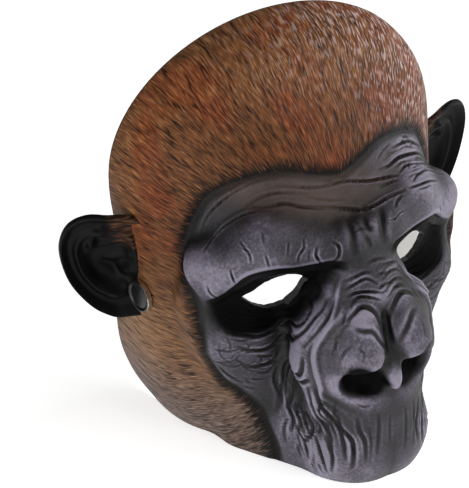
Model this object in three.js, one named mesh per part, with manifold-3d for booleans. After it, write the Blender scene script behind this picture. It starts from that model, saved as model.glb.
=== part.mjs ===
import * as THREE from 'three';
import { mergeVertices } from 'three/addons/utils/BufferGeometryUtils.js';
import Module from 'manifold-3d';

// A rubber gorilla mask for the front half of a head: domed crown, heavy brows, open eyes,
// broad nose, upper lip, two cupped ears, and a snap fastener behind each cheek.
// Millimetres. The face looks along -Y, +Z is up, and the wearer's right side is at -X. The
// form is worked out about a point midway between the ears at eye height, and set on its rim
// at the end.

const wasm = await Module();
wasm.setup();

// Head form
const halfWidth = 95;
const faceReach = 130;
const headHeight = 226;
const wall = 2.5;
const clearance = 0.3;

// Eye openings
const eyeSpacing = 81;
const eyeLength = 31;
const eyeHeight = 21;
const eyeDrop = 7.5;
const eyeCornerDrop = 9;

// Ears
const earHeight = 72;
const earStandOut = 34.5;
const earCupDepth = 9;
const earWall = 2.6;
const earRimRoll = 3;
const earSweep = 0.42;
const earLean = 0.12;

// Snap fasteners
const capDiameter = 18;
const capHeight = 3.4;
const capDish = 1.4;
const capLip = 1.7;
const postDiameter = 5;
const flangeDiameter = 12;
const flangeThickness = 1.4;

// How finely the curved skins are divided
const outerSteps = 18;
const innerSteps = 10;
const frontShare = 0.6;
const evenings = 2;
const searchSteps = 64;
const searchHalvings = 14;

const headSize = new THREE.Vector3(halfWidth, faceReach, headHeight);
const toHead = (shares) => new THREE.Vector3(...shares).multiply(headSize);
const rayCentre = toHead([0, -0.04, -0.16]);
const rayReach = headHeight * 0.9;
const rayStart = halfWidth * 0.08;
const rimHeight = -0.5133 * headHeight;

// The sculpted form. A block is a rounded mass (centre and radii), a roll is a tapered
// sausage between two points. Places and block radii are shares of the half width, the
// reach and the height; roll radii and blends are shares of the half width. A pair is
// mirrored to both sides, and a dent is taken away instead of added.
const forms = [
  { name: 'crown', block: [0, 0.023, 0.157], radii: [0.996, 0.46, 0.329], back: 1.15, blend: 0 },
  { name: 'side walls', block: [0, 0.038, -0.16], radii: [0.937, 0.615, 0.54], power: 2.45, back: 1.5,
    blend: 0.17 },
  { name: 'forehead', block: [0, -0.292, 0.133], radii: [0.568, 0.277, 0.177], blend: 0.19 },
  { name: 'face plate', block: [0, -0.431, 0.027], radii: [0.695, 0.223, 0.159], blend: 0.15 },
  { name: 'muzzle', block: [0, -0.662, -0.354], radii: [0.34, 0.315, 0.265], power: 2.3, blend: 0.17 },
  { name: 'muzzle flank', pair: true, roll: [[0.458, -0.385, -0.46], [0.205, -0.692, -0.46]],
    radii: [0.179, 0.179], stretch: [1, 1, 2], blend: 0.105 },
  { name: 'upper lip', pair: true, block: [0.126, -0.769, -0.442], radii: [0.211, 0.169, 0.097],
    blend: 0.126 },
  { name: 'nose base', block: [0, -0.7, -0.15], radii: [0.4, 0.18, 0.19], blend: 0.126 },
  { name: 'inner brow', pair: true, roll: [[0.126, -0.669, 0.066], [0.442, -0.538, 0.084]],
    radii: [0.132, 0.158], blend: 0.084 },
  { name: 'outer brow', pair: true, roll: [[0.442, -0.538, 0.084], [0.716, -0.431, 0.018]],
    radii: [0.158, 0.132], blend: 0.084 },
  { name: 'brow end', pair: true, roll: [[0.716, -0.431, 0.018], [0.789, -0.377, -0.084]],
    radii: [0.132, 0.105], blend: 0.084 },
  { name: 'cheekbone', pair: true, block: [0.616, -0.423, -0.164], radii: [0.226, 0.142, 0.084],
    blend: 0.126 },
  { name: 'lower cheek', pair: true, block: [0.505, -0.438, -0.265], radii: [0.2, 0.115, 0.097],
    blend: 0.147 },
  { name: 'nose bridge', roll: [[0, -0.692, 0.071], [0, -0.808, -0.027]], radii: [0.105, 0.126],
    blend: 0.095 },
  { name: 'eye socket', pair: true, dent: true, block: [0.432, -0.762, -0.035],
    radii: [0.242, 0.177, 0.053], blend: 0.063 },
  { name: 'fold over the nose', pair: true, roll: [[0.105, -0.754, 0.009], [0.258, -0.745, -0.097]],
    radii: [0.074, 0.084], blend: 0.105 },
  { name: 'fold beside the nose', pair: true, roll: [[0.258, -0.745, -0.097], [0.325, -0.715, -0.195]],
    radii: [0.084, 0.084], blend: 0.095 },
  { name: 'fold to the lip', pair: true, roll: [[0.325, -0.715, -0.195], [0.285, -0.765, -0.31]],
    radii: [0.084, 0.063], blend: 0.095 },
  { name: 'nose lobe', pair: true, roll: [[0.105, -0.846, -0.071], [0.147, -0.908, -0.146]],
    radii: [0.105, 0.126], blend: 0.047 },
  { name: 'nose wing', pair: true, roll: [[0.168, -0.862, -0.133], [0.211, -0.854, -0.221]],
    radii: [0.116, 0.095], blend: 0.095 },
  { name: 'wing foot', pair: true, roll: [[0.211, -0.854, -0.221], [0.116, -0.862, -0.27]],
    radii: [0.084, 0.063], blend: 0.084 },
  { name: 'nose ridge', roll: [[0, -0.852, -0.115], [0, -0.968, -0.214]], radii: [0.063, 0.068],
    blend: 0.042 },
  { name: 'nostril', pair: true, dent: true, roll: [[0.168, -1.062, -0.228], [0.184, -0.923, -0.218]],
    radii: [0.121, 0.084], stretch: [1.15, 1, 1], blend: 0.07 },
].map(placeForm);

// The rear edge seen from the side, from the crown down to the bottom rim, as shares of
// the reach and the height.
const rearEdge = [
  [0.015, 0.53], [0.023, 0.265], [0.031, 0.115], [0.1, -0.088], [0.146, -0.261],
  [0.177, -0.372], [0.162, -0.42], [0.131, -0.46], [0.069, -0.491], [-0.015, -0.5133],
];

// The ear's outline in its own plane, as shares of its stand-out and its height; the
// first and last points lie inside the head, where the ear is cut off at the skin.
const earOutline = [
  [-0.42, 0.33], [0.24, 0.47], [0.6, 0.47], [0.84, 0.37], [0.985, 0.17], [0.93, -0.08],
  [0.72, -0.29], [0.48, -0.43], [0.14, -0.53], [-0.42, -0.5],
];
const earSectors = 24;
const earRoot = [0.995, -0.094, -0.04];
// Rings from the cup's floor to the edge: distance from the middle as a share of the
// outline, then depth below the rim as a share of the cup's depth.
const earFrontRings = [[0.2, 1], [0.38, 0.92], [0.5, 0.6], [0.6, 0.3], [0.7, 0.46], [0.8, 0.4], [0.9, 0.08]];
const earBackRings = [[0.94, 0.1], [0.8, 0.42], [0.55, 0.62], [0.3, 1]];

function placeForm(row) {
  const length = (share) => share * halfWidth;
  const placed = { ...row, power: row.power ?? 2, blend: length(row.blend) };
  if (row.block) {
    placed.centre = toHead(row.block);
    placed.size = toHead(row.radii);
    placed.backSize = row.back ? row.back * faceReach : placed.size.y;
  } else {
    placed.stretched = new THREE.Vector3(...(row.stretch ?? [1, 1, 1]));
    placed.start = toHead(row.roll[0]).divide(placed.stretched);
    placed.run = toHead(row.roll[1]).divide(placed.stretched).sub(placed.start);
    placed.ends = row.radii.map(length);
  }
  return placed;
}

function blockDistance(form, x, y, z) {
  const sizeY = y > form.centre.y ? form.backSize : form.size.y;
  const shareX = Math.abs(x - form.centre.x) / form.size.x;
  const shareY = Math.abs(y - form.centre.y) / sizeY;
  const shareZ = Math.abs(z - form.centre.z) / form.size.z;
  const { power } = form;
  const level = (shareX ** power + shareY ** power + shareZ ** power) ** (1 / power);
  const slope = level ** (1 - power) * Math.hypot(
    shareX ** (power - 1) / form.size.x, shareY ** (power - 1) / sizeY, shareZ ** (power - 1) / form.size.z);
  return (level - 1) / Math.max(slope, 1e-6);
}

function rollDistance(form, x, y, z) {
  const { start, run, stretched, ends } = form;
  const dx = x / stretched.x - start.x;
  const dy = y / stretched.y - start.y;
  const dz = z / stretched.z - start.z;
  const along = THREE.MathUtils.clamp((dx * run.x + dy * run.y + dz * run.z) / run.lengthSq(), 0, 1);
  const away = Math.hypot(dx - run.x * along, dy - run.y * along, dz - run.z * along);
  const thinnest = Math.min(stretched.x, stretched.y, stretched.z);
  return (away - THREE.MathUtils.lerp(ends[0], ends[1], along)) * thinnest;
}

function blendNearer(a, b, blend) {
  if (blend === 0) return Math.min(a, b);
  const mix = THREE.MathUtils.clamp(0.5 + (b - a) / (2 * blend), 0, 1);
  return b + (a - b) * mix - blend * mix * (1 - mix);
}

// Distance from a point to the sculpted skin, negative inside the head.
function skinDistance(x, y, z) {
  let distance = 1e9;
  for (const form of forms) {
    const sideX = form.pair ? Math.abs(x) : x;
    const measure = form.block ? blockDistance : rollDistance;
    const own = measure(form, sideX, y, z);
    distance = form.dent
      ? -blendNearer(-distance, own, form.blend)
      : blendNearer(distance, own, form.blend);
  }
  return distance;
}

// The distance along a ray at which the skin distance passes the level: the farthest such
// place for an outer skin, the nearest one for the wall's inner face.
function rayLength(origin, direction, level, outermost) {
  const excess = (t) => skinDistance(
    origin.x + direction.x * t, origin.y + direction.y * t, origin.z + direction.z * t) - level;
  const step = (rayReach - rayStart) / searchSteps;
  let inside = rayStart;
  let outside = rayReach;
  for (let i = 1; i <= searchSteps; i++) {
    const t = outermost ? rayReach - i * step : rayStart + i * step;
    const isInside = excess(t) < 0;
    if (isInside) inside = t;
    else outside = t;
    if (isInside === outermost) break;
  }
  for (let i = 0; i < searchHalvings; i++) {
    const middle = (inside + outside) / 2;
    if (excess(middle) < 0) inside = middle;
    else outside = middle;
  }
  return (inside + outside) / 2;
}

function mergeToPositions(geometry) {
  const bare = geometry.clone();
  bare.deleteAttribute('normal');
  bare.deleteAttribute('uv');
  return mergeVertices(bare, 1e-4);
}

// A closed geometry as a solid, without the slivers that a lathe leaves on its axis.
function toSolid(geometry) {
  const merged = mergeToPositions(geometry);
  const corners = merged.index.array;
  const triVerts = [];
  for (let i = 0; i < corners.length; i += 3) {
    const [a, b, c] = [corners[i], corners[i + 1], corners[i + 2]];
    if (a !== b && b !== c && c !== a) triVerts.push(a, b, c);
  }
  return new wasm.Manifold(new wasm.Mesh({
    numProp: 3,
    vertProperties: new Float32Array(merged.attributes.position.array),
    triVerts: new Uint32Array(triVerts),
  }));
}

function toGeometry(solid) {
  const mesh = solid.getMesh();
  const geometry = new THREE.BufferGeometry();
  geometry.setAttribute('position', new THREE.BufferAttribute(new Float32Array(mesh.vertProperties), 3));
  geometry.setIndex(new THREE.BufferAttribute(new Uint32Array(mesh.triVerts), 1));
  geometry.computeVertexNormals();
  return geometry;
}

// The direction in which the skin distance grows fastest, and how fast.
function skinSlope(point) {
  const probe = halfWidth * 0.004;
  const { x, y, z } = point;
  return new THREE.Vector3(
    skinDistance(x + probe, y, z) - skinDistance(x - probe, y, z),
    skinDistance(x, y + probe, z) - skinDistance(x, y - probe, z),
    skinDistance(x, y, z + probe) - skinDistance(x, y, z - probe)).divideScalar(2 * probe);
}

// Draws each corner towards the middle of its neighbours and sets it back on the skin, so
// that facets also spread over what the rays pass at a glance, such as the nose's underside.
function evenOut(geometry, level) {
  const position = geometry.attributes.position;
  const corners = geometry.index.array;
  const points = Array.from({ length: position.count }, (_, i) =>
    new THREE.Vector3().fromBufferAttribute(position, i));
  for (let round = 0; round < evenings; round++) {
    const sums = points.map(() => new THREE.Vector3());
    const counts = points.map(() => 0);
    for (let i = 0; i < corners.length; i++) {
      const next = corners[i % 3 === 2 ? i - 2 : i + 1];
      sums[corners[i]].add(points[next]);
      counts[corners[i]] += 1;
    }
    points.forEach((point, i) => {
      point.lerp(sums[i].divideScalar(counts[i]), 0.5);
      const slope = skinSlope(point);
      const excess = skinDistance(point.x, point.y, point.z) - level;
      point.addScaledVector(slope, -excess / Math.max(slope.lengthSq(), 0.2));
    });
  }
  points.forEach((point, i) => position.setXYZ(i, point.x, point.y, point.z));
}

// A closed skin around the whole head at a level of the skin distance, with more and
// smaller facets towards the face.
function headSkin(level, detail, outermost) {
  const geometry = mergeToPositions(new THREE.IcosahedronGeometry(1, detail));
  const position = geometry.attributes.position;
  const direction = new THREE.Vector3();
  for (let i = 0; i < position.count; i++) {
    direction.fromBufferAttribute(position, i);
    direction.y -= frontShare;
    direction.normalize();
    const length = rayLength(rayCentre, direction, level, outermost);
    direction.multiplyScalar(length).add(rayCentre);
    position.setXYZ(i, direction.x, direction.y, direction.z);
  }
  if (outermost) evenOut(geometry, level);
  return toSolid(geometry);
}

// An outline in the plane of Y and Z, pushed through the head from side to side.
function sideProfile() {
  const toPoint = ([y, z]) => new THREE.Vector2(y * faceReach, z * headHeight);
  const rear = new THREE.SplineCurve(rearEdge.map(toPoint)).getPoints(rearEdge.length * 3);
  const front = -1.3 * faceReach;
  const outline = [...rear, new THREE.Vector2(front, rimHeight), new THREE.Vector2(front, rear[0].y)];
  const depth = 3 * halfWidth;
  const geometry = new THREE.ExtrudeGeometry(new THREE.Shape(outline), { depth, bevelEnabled: false });
  geometry.translate(0, 0, -depth / 2);
  geometry.applyMatrix4(new THREE.Matrix4().makeBasis(
    new THREE.Vector3(0, 1, 0), new THREE.Vector3(0, 0, 1), new THREE.Vector3(1, 0, 0)));
  return toSolid(geometry);
}

// An almond in the plane of X and Z, pushed forward through the face on one side.
function eyeCutter(side) {
  const inner = side * (eyeSpacing - eyeLength) / 2;
  const outer = side * (eyeSpacing + eyeLength) / 2;
  const outerZ = -eyeDrop - eyeCornerDrop / 2;
  const innerZ = outerZ + eyeCornerDrop;
  const middleZ = (innerZ + outerZ) / 2;
  const almond = new THREE.Shape();
  almond.moveTo(inner, innerZ);
  almond.quadraticCurveTo(inner + (outer - inner) * 0.42, middleZ + eyeHeight * 0.95, outer, outerZ);
  almond.quadraticCurveTo(inner + (outer - inner) * 0.4, middleZ - eyeHeight * 1.05, inner, innerZ);
  const depth = faceReach * 0.6;
  const geometry = new THREE.ExtrudeGeometry(almond, { depth, bevelEnabled: false, curveSegments: 10 });
  geometry.applyMatrix4(new THREE.Matrix4().makeBasis(
    new THREE.Vector3(1, 0, 0), new THREE.Vector3(0, 0, 1), new THREE.Vector3(0, -1, 0)));
  geometry.translate(0, -0.35 * faceReach, 0);
  return toSolid(geometry);
}

// A lathe about +Z, turned so that +Z becomes the given direction, at the given place.
function turned(profile, segments, place, direction) {
  const points = profile.map(([radius, height]) => new THREE.Vector2(radius, height));
  const geometry = new THREE.LatheGeometry(points, segments);
  geometry.rotateX(Math.PI / 2);
  const turn = new THREE.Quaternion().setFromUnitVectors(new THREE.Vector3(0, 0, 1), direction);
  geometry.applyQuaternion(turn);
  geometry.translate(place.x, place.y, place.z);
  return toSolid(geometry);
}

// The snap's seat: a point of the skin behind the cheek and the outward direction there, at
// a set share of the ear's height below its root.
function snapSeat(side) {
  const origin = toHead([0, -0.12, earRoot[2]]);
  origin.z -= earHeight * 0.274;
  const target = origin.clone().setX(side * 0.94 * halfWidth);
  const ray = target.clone().sub(origin).normalize();
  const place = origin.clone().addScaledVector(ray, rayLength(origin, ray, 0, true));
  return { place, outward: skinSlope(place).normalize() };
}

function snapCap(seat) {
  const radius = capDiameter / 2;
  const bottom = clearance;
  const top = bottom + capHeight;
  const profile = [
    [0, bottom], [radius * 0.9, bottom], [radius, bottom + capHeight * 0.3], [radius, top - capHeight * 0.25],
    [radius - capLip * 0.5, top], [radius - capLip, top - capDish * 0.4], [radius - capLip * 1.3, top - capDish],
    [0, top - capDish * 0.6],
  ];
  return turned(profile, 24, seat.place, seat.outward);
}

function snapStud(seat) {
  const post = postDiameter / 2;
  const flange = flangeDiameter / 2;
  const flangeTop = -wall - clearance;
  const profile = [
    [0, flangeTop - flangeThickness], [flange, flangeTop - flangeThickness], [flange, flangeTop],
    [post, flangeTop], [post, 0], [0, 0],
  ];
  return turned(profile, 16, seat.place, seat.outward);
}

// The hole for the post, and the pocket that keeps the inner wall clear of the flange.
function snapCutter(seat) {
  const post = postDiameter / 2 + clearance;
  const flange = flangeDiameter / 2 + 2 * clearance;
  const deep = -wall * 4;
  const profile = [[0, deep], [flange, deep], [flange, -wall], [post, -wall], [post, wall], [0, wall]];
  return turned(profile, 16, seat.place, seat.outward);
}

// A cupped ear as one closed skin: rings across the front, over the rolled edge and down the back.
function earBlank(side) {
  const outline = new THREE.CatmullRomCurve3(
    earOutline.map(([out, up]) => new THREE.Vector3(out * earStandOut, up * earHeight, 0)), true);
  const edge = outline.getPoints(earSectors).slice(0, earSectors);
  const middle = new THREE.Vector3(earStandOut * 0.36, 0, 0);
  const backRise = earCupDepth + earWall - earRimRoll;
  const rings = [
    ...earFrontRings.map(([share, depth]) => ({ share, height: -depth * earCupDepth })),
    { share: 0.96, height: earRimRoll * 0.3 },
    { share: 1, height: -earRimRoll * 0.5 },
    ...earBackRings.map(([share, depth]) => ({ share, height: -earRimRoll - depth * backRise })),
  ];
  const points = rings.flatMap(({ share, height }) =>
    edge.map((rim) => middle.clone().lerp(rim, share).setZ(height)));
  const frontPole = points.push(middle.clone().setZ(-earCupDepth)) - 1;
  const backPole = points.push(middle.clone().setZ(-earCupDepth - earWall)) - 1;
  const index = [];
  const at = (ring, sector) => ring * earSectors + (sector % earSectors);
  for (let sector = 0; sector < earSectors; sector++) {
    index.push(frontPole, at(0, sector + 1), at(0, sector));
    index.push(backPole, at(rings.length - 1, sector), at(rings.length - 1, sector + 1));
    for (let ring = 0; ring + 1 < rings.length; ring++) {
      const [a, b] = [at(ring, sector), at(ring, sector + 1)];
      const [c, d] = [at(ring + 1, sector), at(ring + 1, sector + 1)];
      index.push(a, b, d, a, d, c);
    }
  }
  if (side < 0) index.reverse();
  const geometry = new THREE.BufferGeometry().setFromPoints(points);
  geometry.setIndex(index);
  geometry.applyMatrix4(earFrame(side));
  return toSolid(geometry);
}

// The ear's own frame: its first axis runs outward and back, its second up, its third
// through the cup's mouth. On the left side the frame is a mirror image.
function earFrame(side) {
  const root = toHead(earRoot);
  const outward = new THREE.Vector3(1, earSweep, 0).normalize();
  const up = new THREE.Vector3(earLean, -earLean * 0.4, 1).normalize();
  const front = new THREE.Vector3().crossVectors(outward, up).normalize();
  const frame = new THREE.Matrix4().makeBasis(outward, up, front).setPosition(root);
  return new THREE.Matrix4().makeScale(side, 1, 1).multiply(frame);
}

// The ear without what lies inside the head or under the snap's cap.
function ear(side, seat) {
  const radius = capDiameter / 2 + clearance;
  const capRoom = [[0, -wall], [radius, -wall], [radius, 3 * capHeight], [0, 3 * capHeight]];
  return earBlank(side)
    .subtract(headSkin(clearance, outerSteps, true))
    .subtract(turned(capRoom, 24, seat.place, seat.outward));
}

function maskShell(seats) {
  const cavity = headSkin(-wall, innerSteps, false);
  const cutters = [cavity, eyeCutter(1), eyeCutter(-1), ...seats.map(snapCutter)];
  return cutters.reduce(
    (solid, cutter) => solid.subtract(cutter),
    headSkin(0, outerSteps, true).intersect(sideProfile()));
}

const rubber = new THREE.MeshStandardMaterial({ color: '#6b4a36', roughness: 0.62, metalness: 0 });
const earRubber = new THREE.MeshStandardMaterial({ color: '#1b1a1c', roughness: 0.5, metalness: 0 });
const nickel = new THREE.MeshStandardMaterial({ color: '#c9c9cc', roughness: 0.18, metalness: 1 });

const mask = new THREE.Group();

function addNode(name, solid, material) {
  const mesh = new THREE.Mesh(toGeometry(solid), material);
  mesh.name = name;
  mask.add(mesh);
}

const sides = [{ word: 'right', side: -1 }, { word: 'left', side: 1 }];
const seats = sides.map(({ side }) => snapSeat(side));
addNode('mask_shell', maskShell(seats), rubber);
sides.forEach(({ word, side }, i) => {
  addNode(`ear_${word}`, ear(side, seats[i]), earRubber);
  addNode(`snap_cap_${word}`, snapCap(seats[i]), nickel);
  addNode(`snap_stud_${word}`, snapStud(seats[i]), nickel);
});

// The mask stands on its bottom rim, centred over the origin.
const bounds = new THREE.Box3().setFromObject(mask, true);
mask.position.set(0, -(bounds.min.y + bounds.max.y) / 2, -bounds.min.z);
const group = new THREE.Group();
group.add(mask);

export default group;
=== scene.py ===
# The looks of a rubber gorilla mask: one moulded skin with a sculpted face and combed hair,
# two cupped ears and two nickel snaps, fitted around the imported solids.
# Places are worked out in millimetres about a point midway between the ears at eye height,
# with the face looking along -Y, and are set into the frame by toFrame.

import math
import random
from functools import partial

import bpy
import numpy as np
from mathutils import Matrix, Vector


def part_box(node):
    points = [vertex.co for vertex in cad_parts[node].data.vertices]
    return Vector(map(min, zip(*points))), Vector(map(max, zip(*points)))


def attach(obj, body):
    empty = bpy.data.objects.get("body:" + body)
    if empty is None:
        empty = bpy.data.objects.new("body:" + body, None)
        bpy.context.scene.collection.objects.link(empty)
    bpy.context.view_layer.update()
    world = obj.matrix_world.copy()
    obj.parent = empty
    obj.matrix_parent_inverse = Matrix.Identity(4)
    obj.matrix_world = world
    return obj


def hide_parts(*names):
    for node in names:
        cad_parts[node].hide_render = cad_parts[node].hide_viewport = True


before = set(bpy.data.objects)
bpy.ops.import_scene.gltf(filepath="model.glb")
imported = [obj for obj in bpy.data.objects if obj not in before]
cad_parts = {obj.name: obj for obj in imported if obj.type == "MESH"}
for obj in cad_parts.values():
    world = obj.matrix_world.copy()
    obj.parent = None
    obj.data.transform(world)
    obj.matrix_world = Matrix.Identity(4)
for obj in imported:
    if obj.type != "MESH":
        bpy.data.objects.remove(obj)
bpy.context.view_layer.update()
mm = 0.001

shellLow, shellHigh = (np.array(corner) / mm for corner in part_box("mask_shell"))
shellSize = shellHigh - shellLow
head = {
    "halfWidth": shellSize[0] / 1.98837,
    "faceReach": shellSize[1] / 1.1918,
    "headHeight": shellSize[2] / 0.99856,
    "wall": 2.5,
    "rimShare": -0.5133,    # the bottom rim, as a share of the height
    "rearShare": 0.1775,    # the rearmost edge, as a share of the reach
    "outerCuts": 69,        # cuts per cube edge before the last halving
    "innerCuts": 19,
    "frontPull": 0.7,       # how far facets crowd towards the face
    "evenings": 14,
    "hairRise": 0.7,        # how far the hair stands above the face
    "highest": 3.0,         # limits of the carving, up and down
    "deepest": 2.3,
    "smoothAngle": 60,
}
headSize = np.array((head["halfWidth"], head["faceReach"], head["headHeight"]))
rayCentre = headSize * (0, -0.04, -0.16)
headOrigin = np.array((
    0,
    shellHigh[1] - head["rearShare"] * headSize[1],
    shellLow[2] - head["rimShare"] * headSize[2]))


def toFrame(points):
    return (np.asarray(points) + headOrigin) * mm


def toLinear(hexColour):
    channels = [int(hexColour[i:i + 2], 16) / 255 for i in (1, 3, 5)]
    return tuple(c / 12.92 if c <= 0.04045 else ((c + 0.055) / 1.055) ** 2.4 for c in channels) + (1.0,)


def deselectAll():
    if bpy.context.object and bpy.context.object.mode != "OBJECT":
        bpy.ops.object.mode_set(mode="OBJECT")
    bpy.ops.object.select_all(action="DESELECT")


def makeActive(piece):
    deselectAll()
    piece.select_set(True)
    bpy.context.view_layer.objects.active = piece


def applyModifier(piece, kind, **settings):
    makeActive(piece)
    modifier = piece.modifiers.new(kind.lower(), kind)
    for name, value in settings.items():
        setattr(modifier, name, value)
    bpy.ops.object.modifier_apply(modifier=modifier.name)


# Runs edit-mode operators on the whole of the active piece.
def editWhole(*steps):
    bpy.ops.object.mode_set(mode="EDIT")
    for step, settings in steps:
        bpy.ops.mesh.select_all(action="SELECT")
        step(**settings)
    bpy.ops.object.mode_set(mode="OBJECT")


def remove(*pieces):
    for piece in pieces:
        mesh = piece.data
        bpy.data.objects.remove(piece)
        bpy.data.meshes.remove(mesh)


def vertexPlaces(piece):
    places = np.empty(len(piece.data.vertices) * 3)
    piece.data.vertices.foreach_get("co", places)
    return places.reshape(-1, 3)


def setPlaces(piece, places):
    piece.data.vertices.foreach_set("co", np.asarray(places, dtype=float).ravel())
    piece.data.update()


def setAttribute(piece, name, values):
    kind, key = ("FLOAT_VECTOR", "vector") if values.ndim == 2 else ("FLOAT", "value")
    attribute = piece.data.attributes.new(name, kind, "POINT")
    attribute.data.foreach_set(key, values.astype(float).ravel())


print("stage: camera and light")

camera = {
    "azimuth": -28.06,
    "elevation": 33.13,
    "roll": -2.0,
    "distance": 1200.0,
    "pixelsPerMm": 1.88,
    "aim": (0.0, -40.0, 0.0),
    "aimPixel": (307.88, 222.97),
    "imageSize": (469, 488),
    "sensorWidth": 36,
}


def addCamera():
    azimuth, elevation, roll = (math.radians(camera[key]) for key in ("azimuth", "elevation", "roll"))
    right = np.array((math.cos(azimuth), math.sin(azimuth), 0))
    back = np.array((
        math.sin(azimuth) * math.cos(elevation), -math.cos(azimuth) * math.cos(elevation),
        math.sin(elevation)))
    up = np.cross(back, right)
    right, up = (right * math.cos(roll) + up * math.sin(roll), up * math.cos(roll) - right * math.sin(roll))
    width, height = camera["imageSize"]
    shiftX = (width / 2 - camera["aimPixel"][0]) / camera["pixelsPerMm"]
    shiftY = (camera["aimPixel"][1] - height / 2) / camera["pixelsPerMm"]
    target = np.array(camera["aim"]) + shiftX * right + shiftY * up
    data = bpy.data.cameras.new("camera")
    data.sensor_width = camera["sensorWidth"]
    data.lens = camera["pixelsPerMm"] * camera["distance"] / height * data.sensor_width
    viewer = bpy.data.objects.new("camera", data)
    viewer.location = toFrame(target + back * camera["distance"])
    viewer.rotation_euler = Matrix((right, up, back)).transposed().to_euler()
    bpy.context.scene.collection.objects.link(viewer)
    bpy.context.scene.camera = viewer


light = {
    "key": {"place": (420, -820, 620), "size": 0.5, "power": 3.6},
    "rim": {"place": (950, -200, 420), "size": 0.4, "power": 4.4},
    "fill": {"place": (-850, -650, 260), "size": 0.6, "power": 4.7},
    "world": 0.19,
    "floor": "#ffffff",
    "floorSize": 6,         # metres
    "floorGlow": 0.6,
}


def addLights():
    for name in ("key", "rim", "fill"):
        settings = light[name]
        data = bpy.data.lights.new(name, "AREA")
        data.size = settings["size"]
        data.energy = settings["power"]
        lamp = bpy.data.objects.new(name, data)
        place = Vector(settings["place"])
        lamp.location = Vector(toFrame(place))
        lamp.rotation_euler = place.to_track_quat("Z", "Y").to_euler()
        bpy.context.scene.collection.objects.link(lamp)
    world = bpy.data.worlds.new("studio")
    world.use_nodes = True
    background = world.node_tree.nodes["Background"]
    background.inputs["Color"].default_value = (1, 1, 1, 1)
    background.inputs["Strength"].default_value = light["world"]
    bpy.context.scene.world = world
    bpy.context.scene.view_settings.view_transform = "Standard"


# Sets a node's inputs: each is a value or another node's socket.
def setInputs(node, inputs):
    for key, value in inputs.items():
        if isinstance(value, bpy.types.NodeSocket):
            node.id_data.links.new(value, node.inputs[key])
        else:
            node.inputs[key].default_value = value


# Adds a node with its settings, inputs and colour stops, and gives its first output.
def addNode(tree, kind, inputs=None, stops=None, **settings):
    node = tree.nodes.new("ShaderNode" + kind)
    for name, value in settings.items():
        setattr(node, name, value)
    setInputs(node, inputs or {})
    for i, (place, colour) in enumerate(stops or []):
        ramp = node.color_ramp.elements
        stop = ramp[i] if i < len(ramp) else ramp.new(place)
        stop.position = place
        stop.color = toLinear(colour)
    return node.outputs[0]


# A material, its shader, and the function that adds nodes to it.
def newMaterial(name):
    material = bpy.data.materials.new(name)
    material.use_nodes = True
    tree = material.node_tree
    return material, tree.nodes["Principled BSDF"], partial(addNode, tree)


def addFloor():
    deselectAll()
    bpy.ops.mesh.primitive_plane_add(size=light["floorSize"])
    floor = bpy.context.object
    floor.name = "floor"
    material, shader = newMaterial("matt white paint")[:2]
    setInputs(shader, {
        "Base Color": toLinear(light["floor"]), "Roughness": 0.9,
        "Emission Color": (1, 1, 1, 1), "Emission Strength": light["floorGlow"]})
    floor.data.materials.append(material)


addCamera()
addLights()
addFloor()

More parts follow.
